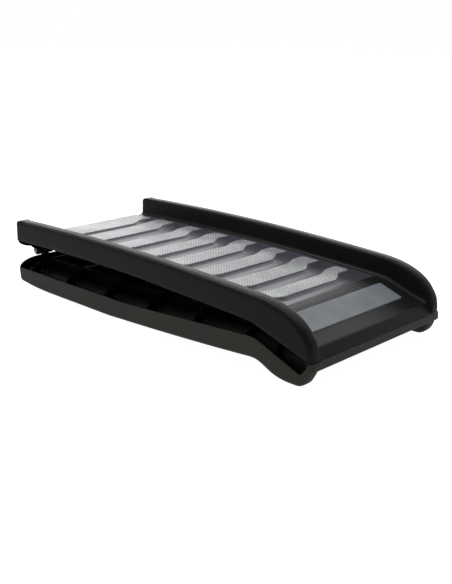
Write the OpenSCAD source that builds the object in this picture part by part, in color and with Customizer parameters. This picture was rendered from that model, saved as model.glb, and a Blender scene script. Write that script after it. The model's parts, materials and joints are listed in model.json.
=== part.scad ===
// Folding pet ramp: two moulded plastic halves joined by two pinned hinges, shown folded flat.
// The lower half lies deck down on its rails, the upper half lies on it deck up.
// X runs from the hinge end (-X) to the nose end (+X), Y across the ramp, Z up.
// Origin: centre of the folded ramp, on the surface that it stands on.
// Stations (s) are distances along X from the hinge end.

/* [Overall] */
// Length of each half, and so of the folded ramp
ramp_len = 890; // [740:10:1100]
// Width across both rails
ramp_w = 415; // [345:5:520]

/* [Rails and deck] */
// Width of each hollow side rail
rail_w = 28; // [22:1:36]
// Height of the upper half's rails above its walking surface
rail_h = 43; // [34:1:54]
// Height of the lower half's walking surface above the floor at the belly
low_rail_h = 37.5; // [31:0.5:46]
// How far the outer walls reach past the walking surface
skirt_h = 5.5; // [4.5:0.5:7]
// Extra reach of the upper half's walls towards the nose
skirt_extra = 2.7; // [0:0.1:4]
// Thickness of the moulded walls and ribs
wall = 3; // [2.4:0.1:3.6]
// Thickness of the deck plates
deck_t = 4; // [3:0.2:5]
// Radius of the rails' top corner at the hinge end
corner_r = 10; // [6:1:16]

/* [Curves along the ramp] */
// Length of the turned-down nose of both halves
nose_len = 145; // [120:5:175]
// Station where the upper half stands highest
crown_s = 270; // [200:10:340]
// How far the upper half falls from its crown to the bend before the nose
crown_fall = 14.1; // [8:0.1:20]
// How far the upper rails' crest falls round the nose
nose_fall = 50; // [42:1:58]
// Station where the lower half starts to rise towards the bend
knee_s = 400; // [330:10:470]
// How far the lower deck rises from the hinge end to the knee
knee_rise = 2; // [0:0.5:4]
// How far the lower deck rises from the knee to the bend
bend_rise = 22; // [14:1:26]
// How far the lower rails lift off the floor at the bend
arch_rise = 23; // [14:1:27]
// How far the lower deck falls from the bend to the tip
tip_fall = 27; // [20:0.5:30]

/* [Treads] */
// Width of a tread strip
tread_w = 53; // [40:1:62]
// Width of the first strip, at the hinge end
first_tread_w = 82; // [60:1:90]
// Width of the second strip
second_tread_w = 65; // [50:1:75]
// Width of the last strip, before the nose
last_tread_w = 43; // [34:1:60]
// Gap between the first and second strips
first_groove = 24; // [16:1:34]
// Gap between the second and third strips
second_groove = 46; // [30:1:56]
// Distance from the start of the last strip to the bend
last_tread_back = 70; // [64:1:90]
// Thickness of a tread strip
tread_t = 2.5; // [1.5:0.1:4]
// Bare margin between the strips' ends and the rails
tread_margin = 24; // [16:1:32]
// How far a strip's nose-side edge sweeps back at its ends
sweep_nose = 24; // [10:1:28]
// How far a strip's hinge-side edge sweeps back at its ends
sweep_hinge = 15; // [6:1:18]
// Length of the swept stretch at each end of a strip
sweep_len = 78; // [60:1:96]
// Radius of a strip's hinge-side corners
tread_corner_r = 12; // [6:1:16]

/* [End pads] */
// Bare margin between a pad and the rails
pad_margin = 33; // [20:1:45]
// Length of the non-slip pad
pad_len = 59; // [45:1:62]
// Thickness of the non-slip pad
pad_t = 1.2; // [0.8:0.1:2]
// Corner radius of the pad
pad_r = 5; // [2:0.5:10]

/* [Ribs] */
// Number of cross ribs before the bend
rib_count = 6; // [4:1:8]
// Station of the first cross rib
first_rib_s = 50; // [30:5:80]
// Distance from the last cross rib before the bend back to the bend
last_rib_back = 12; // [8:1:20]
// Distance from the bend to the cross rib under the nose
nose_rib_s = 56; // [45:1:65]
// Distance from the outer face to the two long ribs
long_rib_y = 55; // [44:1:64]
// Clearance between the hinge knuckles and the other half's ribs
rib_clear = 1.5; // [1:0.25:4]
// Half the gap between the two halves' ribs from the bend on
rib_gap_bend = 4; // [2:0.5:6]

/* [Hinges] */
// Gap between the two halves' outer walls at the hinge end
hinge_gap = 64.8; // [56:0.2:76]
// Gap between the two halves' end faces when the ramp is open
end_gap = 0.5; // [0.4:0.1:2]
// Outer radius of the hinge knuckles
knuckle_r = 11; // [9:0.2:14]
// Distance from the outer face to the first knuckle
knuckle_y = 50; // [40:1:70]
// Width of each of the upper half's knuckles
knuckle_w = 12; // [9:0.5:16]
// Width of the lower half's knuckle between them
mid_knuckle_w = 18; // [12:0.5:24]
// Side gap between neighbouring knuckles
knuckle_gap = 0.5; // [0.3:0.1:1]
// Radius of the hinge pin
pin_r = 3.5; // [2.5:0.25:5]
// Running clearance round the pin in the lower knuckle
pin_fit = 0.05; // [0.02:0.01:0.1]
// Radius of the pin's head
head_r = 6.5; // [5.5:0.25:8]
// Thickness of the pin's head
head_t = 3.5; // [2:0.25:5]
// Depth of the groove for the pin's clip
groove_d = 0.9; // [0.5:0.1:1.2]
// Thickness of the pin's clip
clip_t = 1.5; // [1:0.1:2]

/* [Nose seam] */
// Gap between the two halves at the nose when folded
seam_gap = 0.6; // [0.4:0.1:2]
// Setback of the upper nose from the full length
nose_setback = 2; // [0.5:0.5:4]
// Height of the front lip of the lower half
lip_h = 17; // [13:0.5:20]
// Height of the lower rails' end at the hinge, where its rounding starts
heel_h = 20; // [14:1:26]
// How far the outer wall is cut back below the deck at the lower half's toe
toe_cut = 10; // [6:1:14]
// How far the nose's rounded corners sweep back along the ramp
corner_back = 10; // [6:1:20]
// How far in from the outer face the nose's corners start to round
corner_in = 10; // [6:1:24]

/* [Hidden] */
$fn = 64;
tread_count = 8;
fine = 10;
half_w = ramp_w / 2;
inner_y = half_w - rail_w;
bend_s = ramp_len - nose_len;
hinge_s = -end_gap / 2;
x0 = -(ramp_len + hinge_s - knuckle_r) / 2;

pad_w = 2 * (inner_y - pad_margin);

low_deck_hinge = low_rail_h - knee_rise;
low_deck_knee = low_rail_h;
low_deck_bend = low_deck_knee + bend_rise;
low_tip = [ramp_len - 5, low_deck_bend - tip_fall];
lip_top_z = low_tip[1] + lip_h;
seam_z = lip_top_z + seam_gap;
hinge_z = low_deck_hinge + skirt_h + hinge_gap / 2;
up_deck_hinge = 2 * hinge_z - low_deck_hinge;

rib_total = rib_count + 1;

// Curves

function smooth(x) = x < 0 ? 0 : x > 1 ? 1 : x * x * (3 - 2 * x);
function reversed(list) = [for (i = [len(list) - 1:-1:0]) list[i]];
function mirrored(list) = [for (p = list) [p[0], -p[1]]];
function steps(a, b, n) = [for (i = [0:n]) a + (b - a) * i / n];

// A cubic curve through p[0] and p[3], and the same curve moved sideways by inset
function bez(p, t) =
    pow(1 - t, 3) * p[0] + 3 * pow(1 - t, 2) * t * p[1] + 3 * (1 - t) * t * t * p[2] + pow(t, 3) * p[3];
function bez_slope(p, t) =
    pow(1 - t, 2) * (p[1] - p[0]) + 2 * (1 - t) * t * (p[2] - p[1]) + t * t * (p[3] - p[2]);
function curve(p, n, inset) = [
    for (i = [0:n])
        let (t = i / n, d = bez_slope(p, t))
            bez(p, t) + inset * [d[1], -d[0]] / norm(d)
];
function arc(centre, r, a0, a1, n) = [for (a = steps(a0, a1, n)) centre + r * [cos(a), sin(a)]];

// Upper half: heights along the ramp

function crown_drop(s) = crown_fall * pow((s - crown_s) / (bend_s - crown_s), 2);
function up_deck(s) = up_deck_hinge + crown_drop(0) - crown_drop(s);
function up_crest(s) = up_deck(s) + rail_h;
function up_skirt(s) = skirt_h + skirt_extra * smooth((s - knee_s) / (bend_s - knee_s) * 2);
function up_edge(s) = up_deck(s) - up_skirt(s);

nose_front = ramp_len - nose_setback;
bend_deck_z = up_deck(bend_s);
bend_edge_z = up_edge(bend_s);
crest_end = [nose_front - 16, up_crest(bend_s) - nose_fall];
up_nose_curve = [
    [bend_s, up_crest(bend_s)],
    [bend_s + 45, up_crest(bend_s) - 2],
    [crest_end[0] - 22, crest_end[1] + 36],
    crest_end
];
up_front = [nose_front, seam_z];

// Top line of the upper deck: one straight facet under each tread, then the nose
up_pad_start = [bend_s + 30, bend_deck_z - 1.8];
up_pad_end = [bend_s + 95, bend_deck_z - 24.5];
up_crease = [nose_front - 16, bend_deck_z - 33];
up_lip = [nose_front - 2, seam_z];

// Lower half: heights along the ramp

function low_deck(s) =
    s < knee_s ? low_deck_hinge + knee_rise * s / knee_s
    : s < bend_s ? low_deck_knee + bend_rise * (s - knee_s) / (bend_s - knee_s)
    : low_deck_bend - tip_fall * (s - bend_s) / (low_tip[0] - bend_s);
function low_edge(s) = low_deck(s) + skirt_h;

belly_start = 110;
belly_end = knee_s - 70;
foot_start = ramp_len - 52;
foot_end = ramp_len - 38;
low_heel_curve = [[3, heel_h], [4, 4], [30, 2.5], [belly_start, 0]];
low_rise_curve = [
    [belly_end, 0],
    [belly_end + 100, 4],
    [bend_s - 145, arch_rise / 2],
    [bend_s - 3, arch_rise]
];
low_bend_curve = [
    [bend_s - 3, arch_rise],
    [bend_s + 33, arch_rise + 2],
    [bend_s + 39, 0],
    [foot_start, 0]
];
low_toe_curve = [
    [foot_end, 0],
    [foot_end + 20, 0],
    [ramp_len - 6, low_tip[1] / 2],
    [ramp_len, low_tip[1] + 1]
];

// Outlines of the rails, in station and height. inset moves them into the material.

function up_crest_line(inset) = concat(
    arc([corner_r, up_crest(corner_r) - corner_r], corner_r - inset, 180, 90, 5),
    [for (s = steps(corner_r + 20, bend_s - 25, fine)) [s, up_crest(s) - inset]],
    curve(up_nose_curve, fine, inset)
);
function up_edge_line() = concat(
    [up_front],
    [for (s = steps(bend_s, 0, fine)) [s, up_edge(s)]]
);
function low_crest_line(inset) = concat(
    curve(low_heel_curve, 8, -inset),
    curve(low_rise_curve, 8, -inset),
    curve(low_bend_curve, fine, -inset),
    curve(low_toe_curve, 6, -inset)
);
low_edge_line = [
    [ramp_len - 1.5, lip_top_z],
    [ramp_len - 6, lip_top_z],
    [ramp_len - 12, lip_top_z - 6],
    [ramp_len - 22, low_tip[1] - toe_cut + 5],
    [ramp_len - 28, low_tip[1] - toe_cut],
    [bend_s + 16, low_edge(bend_s) - 2],
    [bend_s + 2, low_edge(bend_s)],
    [bend_s - 15, low_edge(bend_s - 15)],
    [knee_s, low_edge(knee_s)],
    [2, low_edge(2)]
];

// The deck's facets meet in the middle of the grooves between the treads
first_tread_s = 3;
second_tread_s = first_tread_s + first_tread_w + first_groove;
third_tread_s = second_tread_s + second_tread_w + second_groove;
tread_pitch = (bend_s - last_tread_back - third_tread_s) / (tread_count - 3);
function tread_start(i) =
    i == 1 ? first_tread_s
    : i == 2 ? second_tread_s
    : third_tread_s + (i - 3) * tread_pitch;
function tread_width(i) =
    i == 1 ? first_tread_w : i == 2 ? second_tread_w : i == tread_count ? last_tread_w : tread_w;
function tread_end(i) = tread_start(i) + tread_width(i);
function facet_start(i) = i == 1 ? 0 : (tread_end(i - 1) + tread_start(i)) / 2;
facet_stations = concat([for (i = [1:tread_count]) facet_start(i)], [bend_s]);

up_deck_line = concat(
    [for (s = facet_stations) [s, up_deck(s)]],
    [up_pad_start, up_pad_end, up_crease]
);
up_deck_under = concat(
    [for (s = facet_stations) [s, up_deck(s) - deck_t]],
    [
        up_pad_start - [1, deck_t],
        up_pad_end - [2, deck_t],
        up_crease - [deck_t, deck_t]
    ]
);
up_face = [up_crease, up_lip, up_lip - [deck_t + 1, 0], up_crease - [deck_t, deck_t]];
low_deck_line = concat([for (s = facet_stations) [s, low_deck(s)]], [low_tip]);
low_deck_under = concat(
    [for (s = facet_stations) [s, low_deck(s) + deck_t]],
    [low_tip + [-deck_t, deck_t]]
);
low_lip = [
    low_tip + [-deck_t, 1],
    low_tip,
    low_tip + [4, 3],
    [ramp_len - 1.5, lip_top_z],
    [ramp_len - 1.5 - deck_t, lip_top_z]
];

// Height of a line of points at a station
function line_z(line, s) =
    let (i = max([for (k = [0:len(line) - 2]) line[k][0] <= s ? k : 0]))
        line[i][1] + (line[i + 1][1] - line[i][1]) * (s - line[i][0]) / (line[i + 1][0] - line[i][0]);

// Ribs: each half's ribs reach from its deck to a free edge, with a gap to the other half's
function mid_z(s) = (line_z(up_deck_under, s) + line_z(low_deck_under, s)) / 2;
rib_gap_hinge = knuckle_r + rib_clear;
function rib_gap(s) = rib_gap_hinge + (rib_gap_bend - rib_gap_hinge) * min(s / bend_s, 1);
function rib_free(up, s) = mid_z(s) + (up ? 1 : -1) * rib_gap(s);
function rib_deck(up, s) = up ? line_z(up_deck_line, s) - deck_t / 2 : line_z(low_deck_line, s) + deck_t / 2;
function rib_lap(up, s) = (rib_deck(up, s) + rib_free(up, s)) / 2;
function rib_edge_up(s) =
    s < bend_s ? up_edge(s)
    : bend_edge_z + (seam_z - bend_edge_z) * (s - bend_s) / (nose_front - bend_s);
function rib_edge_low(s) =
    s < bend_s ? line_z(reversed(low_edge_line), s) : rib_deck(false, s) + skirt_h;
rib_stations = concat(steps(first_rib_s, bend_s - last_rib_back, rib_count - 1), [bend_s + nose_rib_s]);
long_rib_start = knuckle_r + 12;
long_rib_stations = concat(
    [long_rib_start],
    [for (s = facet_stations) if (s > long_rib_start) s],
    [bend_s + 30, bend_s + 95]
);

// Solids from outlines

// An outline in station and height, made into a slab from y0 to y1
module slab(outline, y0, y1) {
    translate([x0, y1, 0])
        rotate([90, 0, 0])
            linear_extrude(y1 - y0)
                polygon(outline);
}

// An outline in y and height, made into a plate of thickness t at station s
module cross_plate(outline, s, t) {
    translate([x0 + s, 0, 0])
        rotate([90, 0, 90])
            linear_extrude(t)
                polygon(outline);
}

// Everything inside the ramp's outline seen from above, whose two nose corners are rounded
module in_plan(inset) {
    half = concat(
        [[x0 - 30, half_w]],
        [for (a = [90:-15:0])
            [x0 + ramp_len - corner_back * (1 - cos(a)), half_w - corner_in * (1 - sin(a))]]
    );
    linear_extrude(2 * hinge_z + rail_h)
        offset(delta = -inset)
            polygon(concat(half, reversed(mirrored(half))));
}

// One copy at each side of the ramp
module both_sides() {
    children();
    mirror([0, 1, 0])
        children();
}

// A cylinder along Y round the hinge axis, from y0 to y1 measured in from the outer face
module hinge_drum(r, y0, y1) {
    translate([x0 + hinge_s, half_w - y0, hinge_z])
        rotate([90, 0, 0])
            cylinder(r = r, h = y1 - y0);
}

// Everything between the inner faces of the two rails
module between_rails() {
    translate([x0 - 30, -inner_y, 0])
        cube([ramp_len + 60, 2 * inner_y, 2 * hinge_z + rail_h]);
}

// The far side beyond the rail's inner face
module beyond_deck() {
    translate([x0 - 30, inner_y, 0])
        cube([ramp_len + 60, rail_w, 2 * hinge_z + rail_h]);
}

// Right half of a cross rib's outline, from the middle out to the outer wall
function rib_half(free_z, edge_z, deck_z) = concat(
    [[half_w - long_rib_y, free_z]],
    [for (a = [15:15:75])
        [half_w - long_rib_y + (long_rib_y - wall / 2) * sin(a), edge_z + (free_z - edge_z) * cos(a)]],
    [[half_w - wall / 2, edge_z], [half_w - wall / 2, deck_z]]
);
module rib_plate(s, t, free_z, edge_z, deck_z) {
    side = rib_half(free_z, edge_z, deck_z);
    cross_plate(concat(side, reversed([for (p = side) [-p[0], p[1]]])), s, t);
}

// The square column where cross rib and long rib meet at station s, from height z0 to z1
module lap_column(s, z0, z1) {
    translate([x0 + s - wall / 2, half_w - long_rib_y - wall / 2, min(z0, z1)])
        cube([wall, wall, abs(z1 - z0)]);
}

// Cross rib i, notched from its free edge for the long ribs
module cross_rib(up, i) {
    s = rib_stations[i - 1];
    difference() {
        rib_plate(s - wall / 2, wall, rib_free(up, s), up ? rib_edge_up(s) : rib_edge_low(s), rib_deck(up, s));
        both_sides()
            lap_column(s, rib_lap(up, s), mid_z(s));
    }
}

// The far long rib, notched from the deck for the cross ribs
module long_rib(up) {
    outline = concat(
        [for (s = long_rib_stations) [s, rib_deck(up, s)]],
        reversed([for (s = long_rib_stations) [s, rib_free(up, s)]])
    );
    difference() {
        slab(outline, half_w - long_rib_y - wall / 2, half_w - long_rib_y + wall / 2);
        for (s = rib_stations)
            lap_column(s, rib_lap(up, s), rib_deck(up, s) + (up ? deck_t : -deck_t));
    }
}

// Side rails: a crest with an outer wall, hollow from below, and an inner wall down to the deck
module rail(outer, hollow, inner) {
    both_sides() {
        difference() {
            slab(outer, inner_y + wall, half_w);
            intersection() {
                slab(hollow, inner_y + wall - 1, half_w - wall);
                in_plan(wall);
            }
        }
        slab(inner, inner_y, inner_y + wall);
    }
}

// Upper half

module upper_plate() {
    slab(concat(up_deck_line, reversed(up_deck_under)), -inner_y - 1, inner_y + 1);
}
module upper_rails() {
    below = min(seam_z, up_edge(0)) - 10;
    nose_in = up_front[0] - 2 * wall;
    intersection() {
        rail(
            concat(up_crest_line(0), up_edge_line()),
            concat(up_crest_line(wall), [[nose_in, seam_z + 4], [nose_in, below], [wall, below]]),
            concat(up_crest_line(0), [up_lip, up_lip - [deck_t + 1, 0]], reversed(up_deck_under))
        );
        in_plan(0);
    }
}

module upper_deck() {
    color([0.13, 0.13, 0.13])
        intersection() {
            upper_plate();
            between_rails();
            in_plan(0);
        }
}
module upper_nose_face() {
    color([0.13, 0.13, 0.13])
        intersection() {
            slab(up_face, -inner_y, inner_y);
            in_plan(0);
        }
}
module upper_end_wall() {
    color([0.13, 0.13, 0.13])
        difference() {
            intersection() {
                rib_plate(0, deck_t, hinge_z + rib_gap_hinge, up_edge(0), up_deck(0) - deck_t / 2);
                between_rails();
            }
            upper_plate();
        }
}
module upper_far_rail() {
    color([0.13, 0.13, 0.13])
        intersection() {
            upper_rails();
            beyond_deck();
        }
}
module upper_near_rail() {
    mirror([0, 1, 0])
        upper_far_rail();
}
module upper_cross_rib(i) {
    color([0.1, 0.1, 0.1])
        difference() {
            cross_rib(true, i);
            upper_plate();
            upper_rails();
        }
}
module upper_far_long_rib() {
    color([0.1, 0.1, 0.1])
        difference() {
            long_rib(true);
            upper_plate();
        }
}
module upper_near_long_rib() {
    mirror([0, 1, 0])
        upper_far_long_rib();
}

mid_knuckle_y = knuckle_y + knuckle_w + knuckle_gap;
far_knuckle_y = mid_knuckle_y + mid_knuckle_w + knuckle_gap;

// A knuckle from y in from the outer face, w wide, bored to radius r, with a web up to deck_z
module knuckle(y, w, r, deck_z) {
    web = [[0, hinge_z], [knuckle_r, hinge_z], [knuckle_r + 6, deck_z], [0, deck_z]];
    difference() {
        union() {
            hinge_drum(knuckle_r, y, y + w);
            slab(web, half_w - y - w, half_w - y);
        }
        hinge_drum(r, y - 1, y + w + 1);
    }
}
module upper_knuckle(y) {
    color([0.13, 0.13, 0.13])
        difference() {
            knuckle(y, knuckle_w, pin_r, up_deck(0) - deck_t / 2);
            upper_plate();
            upper_end_wall();
        }
}
module upper_far_outer_knuckle() {
    upper_knuckle(knuckle_y);
}
module upper_far_inner_knuckle() {
    upper_knuckle(far_knuckle_y);
}
module upper_near_outer_knuckle() {
    mirror([0, 1, 0])
        upper_knuckle(knuckle_y);
}
module upper_near_inner_knuckle() {
    mirror([0, 1, 0])
        upper_knuckle(far_knuckle_y);
}

// Lower half

module lower_plate() {
    slab(concat(low_deck_line, reversed(low_deck_under)), -inner_y - 1, inner_y + 1);
}
module lower_rails() {
    intersection() {
        union() {
            rail(
                concat(low_crest_line(0), low_edge_line),
                concat(low_crest_line(wall), [[ramp_len - deck_t - 2, hinge_z], [wall + 2, hinge_z]]),
                concat(low_crest_line(0), [[ramp_len - 1.5, lip_top_z]], reversed(low_deck_under))
            );
            slab(low_lip, -half_w + wall / 2, half_w - wall / 2);
        }
        in_plan(0);
    }
}

module lower_deck() {
    color([0.2, 0.2, 0.19])
        intersection() {
            lower_plate();
            between_rails();
            in_plan(0);
        }
}
module lower_lip() {
    color([0.2, 0.2, 0.19])
        difference() {
            intersection() {
                slab(low_lip, -inner_y, inner_y);
                in_plan(0);
            }
            lower_plate();
        }
}
module lower_end_wall() {
    color([0.2, 0.2, 0.19])
        difference() {
            intersection() {
                rib_plate(0, deck_t, hinge_z - rib_gap_hinge, low_edge(0), low_deck(0) + deck_t / 2);
                between_rails();
            }
            lower_plate();
        }
}
module lower_far_rail() {
    color([0.2, 0.2, 0.19])
        intersection() {
            lower_rails();
            beyond_deck();
        }
}
module lower_near_rail() {
    mirror([0, 1, 0])
        lower_far_rail();
}
module lower_cross_rib(i) {
    color([0.1, 0.1, 0.1])
        difference() {
            cross_rib(false, i);
            lower_plate();
            lower_rails();
            if (i == rib_total)
                both_sides()
                    beyond_deck();
        }
}
module lower_far_long_rib() {
    color([0.1, 0.1, 0.1])
        difference() {
            long_rib(false);
            lower_plate();
        }
}
module lower_near_long_rib() {
    mirror([0, 1, 0])
        lower_far_long_rib();
}
module lower_far_knuckle() {
    color([0.2, 0.2, 0.19])
        difference() {
            knuckle(mid_knuckle_y, mid_knuckle_w, pin_r + pin_fit, low_deck(0) + deck_t / 2);
            lower_plate();
            lower_end_wall();
        }
}
module lower_near_knuckle() {
    mirror([0, 1, 0])
        lower_far_knuckle();
}

// Tread strips: cut square to the rails, with both long edges swept back towards the hinge at the ends

tread_half = inner_y - tread_margin;
function sweep(y) = smooth((abs(y) - (tread_half - sweep_len)) / (sweep_len * 0.65));
function tread_outline(i, w) =
    let (
        stop = i == 1 ? 0 : -ramp_len,
        ys = steps(tread_half - sweep_len, tread_half - tread_corner_r, 8),
        corner = [for (a = [15:15:90])
            [tread_corner_r * (1 - cos(a)) - sweep_hinge, tread_half - tread_corner_r * (1 - sin(a))]],
        back = concat([for (y = ys) [-sweep_hinge * sweep(y), y]], corner),
        front = concat([for (y = ys) [w - sweep_nose * sweep(y), y]], [[w - sweep_nose, tread_half]]),
        edge = [for (p = back) [max(p[0], stop), p[1]]]
    )
    concat(edge, reversed(front), mirrored(front), reversed(mirrored(edge)));
module tread(i) {
    linear_extrude(tread_t)
        polygon(tread_outline(i, tread_width(i)));
}

// Places a tread on its facet, from the facet's height at its two ends
module on_facet(i, z_start, z_end) {
    length = facet_stations[i] - facet_stations[i - 1];
    rise = z_end - z_start;
    along = (tread_start(i) - facet_stations[i - 1]) * sqrt(1 + pow(rise / length, 2));
    translate([x0 + facet_stations[i - 1], 0, z_start])
        rotate([0, -atan2(rise, length), 0])
            translate([along, 0, 0])
                children();
}

module upper_tread(i) {
    color([0.78, 0.79, 0.78])
        on_facet(i, up_deck(facet_stations[i - 1]), up_deck(facet_stations[i]))
            tread(i);
}

module lower_tread(i) {
    color([0.78, 0.79, 0.78])
        on_facet(i, low_deck(facet_stations[i - 1]), low_deck(facet_stations[i]))
            mirror([0, 0, 1])
                tread(i);
}

// End pads: thin rounded rectangles on the noses

module pad() {
    linear_extrude(pad_t)
        translate([0, -pad_w / 2]) {
            polygon(concat(
                arc([pad_r, pad_r], pad_r, 180, 270, 4),
                arc([pad_len - pad_r, pad_r], pad_r, 270, 360, 4),
                arc([pad_len - pad_r, pad_w - pad_r], pad_r, 0, 90, 4),
                arc([pad_r, pad_w - pad_r], pad_r, 90, 180, 4)
            ));
        }
}

module upper_end_pad() {
    run = up_pad_end - up_pad_start;
    color([0.5, 0.53, 0.55])
        translate([x0 + up_pad_start[0], 0, up_pad_start[1]])
            rotate([0, -atan2(run[1], run[0]), 0])
                translate([(norm(run) - pad_len) / 2, 0, 0])
                    pad();
}

module lower_end_pad() {
    run = low_tip - [bend_s, low_deck_bend];
    color([0.5, 0.53, 0.55])
        translate([x0 + bend_s, 0, low_deck_bend])
            rotate([0, -atan2(run[1], run[0]), 0])
                translate([(norm(run) - pad_len) / 2, 0, 0])
                    mirror([0, 0, 1])
                        pad();
}

// Hinge pins, pressed into the upper half's knuckles, each held by a clip in a groove

clip_y = far_knuckle_y + knuckle_w;
module hinge_pin() {
    color([0.55, 0.55, 0.57]) {
        hinge_drum(head_r, knuckle_y - head_t, knuckle_y);
        hinge_drum(pin_r, knuckle_y - 0.5, clip_y);
        hinge_drum(pin_r - groove_d, clip_y - 0.5, clip_y + clip_t + 0.5);
        hinge_drum(pin_r, clip_y + clip_t, clip_y + clip_t + 2.5);
    }
}
module pin_clip() {
    color([0.3, 0.3, 0.32])
        difference() {
            hinge_drum(head_r - 0.5, clip_y, clip_y + clip_t);
            hinge_drum(pin_r - groove_d, clip_y - 1, clip_y + clip_t + 1);
        }
}

module near_hinge_pin() {
    mirror([0, 1, 0])
        hinge_pin();
}
module far_hinge_pin() {
    hinge_pin();
}
module near_pin_clip() {
    mirror([0, 1, 0])
        pin_clip();
}
module far_pin_clip() {
    pin_clip();
}

upper_deck();
upper_nose_face();
upper_end_wall();
upper_near_rail();
upper_far_rail();
upper_near_long_rib();
upper_far_long_rib();
for (i = [1:rib_total]) upper_cross_rib(i);
upper_near_outer_knuckle();
upper_near_inner_knuckle();
upper_far_outer_knuckle();
upper_far_inner_knuckle();
lower_deck();
lower_lip();
lower_end_wall();
lower_near_rail();
lower_far_rail();
lower_near_long_rib();
lower_far_long_rib();
for (i = [1:rib_total]) lower_cross_rib(i);
lower_near_knuckle();
lower_far_knuckle();
upper_end_pad();
lower_end_pad();
for (i = [1:tread_count]) upper_tread(i);
for (i = [1:tread_count]) lower_tread(i);
near_hinge_pin();
far_hinge_pin();
near_pin_clip();
far_pin_clip();
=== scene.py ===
import json
import math

import bmesh
import bpy
import numpy as np
from mathutils import Matrix, Vector


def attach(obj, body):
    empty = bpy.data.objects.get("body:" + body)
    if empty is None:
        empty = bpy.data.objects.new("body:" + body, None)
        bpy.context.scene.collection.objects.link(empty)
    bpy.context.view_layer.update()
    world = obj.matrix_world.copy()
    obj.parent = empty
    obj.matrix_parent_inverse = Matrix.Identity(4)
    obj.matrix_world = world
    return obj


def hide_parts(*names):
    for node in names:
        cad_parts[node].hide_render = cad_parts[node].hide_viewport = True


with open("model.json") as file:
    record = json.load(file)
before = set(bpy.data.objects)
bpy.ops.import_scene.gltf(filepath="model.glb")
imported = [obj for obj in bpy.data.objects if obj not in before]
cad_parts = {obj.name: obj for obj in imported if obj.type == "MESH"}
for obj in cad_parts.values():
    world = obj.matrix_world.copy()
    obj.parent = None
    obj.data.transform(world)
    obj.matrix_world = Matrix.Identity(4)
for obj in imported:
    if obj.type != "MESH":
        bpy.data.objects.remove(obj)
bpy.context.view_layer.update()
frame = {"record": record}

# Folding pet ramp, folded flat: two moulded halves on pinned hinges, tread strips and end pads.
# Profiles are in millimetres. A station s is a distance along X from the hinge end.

MM = 0.001

# ---------------------------------------------------------------- driving sizes, as in the CAD

HALF_W = 207.5          # half the width across the rails
INNER_Y = 179.5         # inner face of a rail
RAIL_H = 43.0           # height of the upper rails above the deck
WALL = 3.0
DECK_T = 4.0
COVE = 9.0              # size of the cove between the deck and a rail
BEND = 745.0            # where the noses start
KNEE = 400.0            # where the lower half starts to rise
CROWN_S, CROWN_FALL, NOSE_FALL = 270.0, 14.1, 50.0
UP_DECK_END, LOW_DECK_END = 886.0, 885.0
LOW_DECK = [(0, 35.5), (KNEE, 37.5), (BEND, 59.5), (LOW_DECK_END, 32.5)]
SKIRT, SKIRT_EXTRA = 5.5, 2.7
LIP_TOP, SEAM = 49.5, 50.1
NOSE_FRONT = 886.5
TREAD_HALF, TREAD_T, TREAD_CORNER_R = 155.5, 2.5, 12.0
SWEEP_HINGE, SWEEP_NOSE, SWEEP_LEN = 15.0, 24.0, 78.0
GROOVE_DEPTH = 2.4
PAD_LEN, PAD_HALF, PAD_T, PAD_R = 59.0, 146.5, 1.2, 5.0
LONG_RIB_BACK = 55.0    # from the outer face to a long rib
RIB_CLEAR_HINGE, RIB_CLEAR_BEND = 12.5, 4.0
KNUCKLE_R, BORE_R = 11.0, 3.7
TREADS = [(3.0, 82.0), (109.0, 65.0)] + [(220.0 + 91.0 * i, 53.0) for i in range(5)] + [(675.0, 43.0)]
HINGE = [c / MM for c in frame["record"]["behaviour"]["joints"][0]["pos_m"]]
HINGE_S = -0.25         # station of the hinge axis, half the gap between the open halves' ends
X0 = HINGE[0] - HINGE_S


# ---------------------------------------------------------------- curves

def smooth(x):
    x = min(max(x, 0.0), 1.0)
    return x * x * (3 - 2 * x)


def bezier(p, n):
    """Points on a cubic curve, both ends included."""
    out = []
    for i in range(n + 1):
        t = i / n
        w = ((1 - t) ** 3, 3 * (1 - t) ** 2 * t, 3 * (1 - t) * t * t, t ** 3)
        out.append((sum(a * q[0] for a, q in zip(w, p)), sum(a * q[1] for a, q in zip(w, p))))
    return out


def line(a, b, step):
    n = max(1, int(round(math.dist(a, b) / step)))
    return [(a[0] + (b[0] - a[0]) * i / n, a[1] + (b[1] - a[1]) * i / n) for i in range(n + 1)]


def rounded(points, trim, n=6):
    """A polyline with each inner corner replaced by a short curve that starts trim before it."""
    out = [points[0]]
    for a, b, c, r in zip(points, points[1:], points[2:], trim):
        p = Vector(b) + (Vector(a) - Vector(b)).normalized() * r
        q = Vector(b) + (Vector(c) - Vector(b)).normalized() * r
        for i in range(n + 1):
            t = i / n
            out.append(tuple(p * (1 - t) ** 2 + Vector(b) * 2 * t * (1 - t) + q * t * t))
    return out + [points[-1]]


def join(*parts):
    out = []
    for part in parts:
        for p in part:
            if not out or math.dist(out[-1], p) > 1e-6:
                out.append(p)
    return out


def lookup(points):
    """Height on a line of (station, height) points, as a function."""
    xs = [p[0] for p in points]
    zs = [p[1] for p in points]
    return lambda s: float(np.interp(s, xs, zs))


# ---------------------------------------------------------------- profiles of the upper half

def crown_drop(s):
    return CROWN_FALL * ((s - CROWN_S) / (BEND - CROWN_S)) ** 2


def up_plain(s):
    return 2 * HINGE[2] - LOW_DECK[0][1] + crown_drop(0) - crown_drop(s)


def up_rim(s):
    if s <= BEND:
        return up_plain(s) - SKIRT - SKIRT_EXTRA * smooth((s - KNEE) / (BEND - KNEE) * 2)
    low = up_plain(BEND) - SKIRT - SKIRT_EXTRA
    return low + (SEAM - low) * (s - BEND) / (NOSE_FRONT - BEND)


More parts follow.
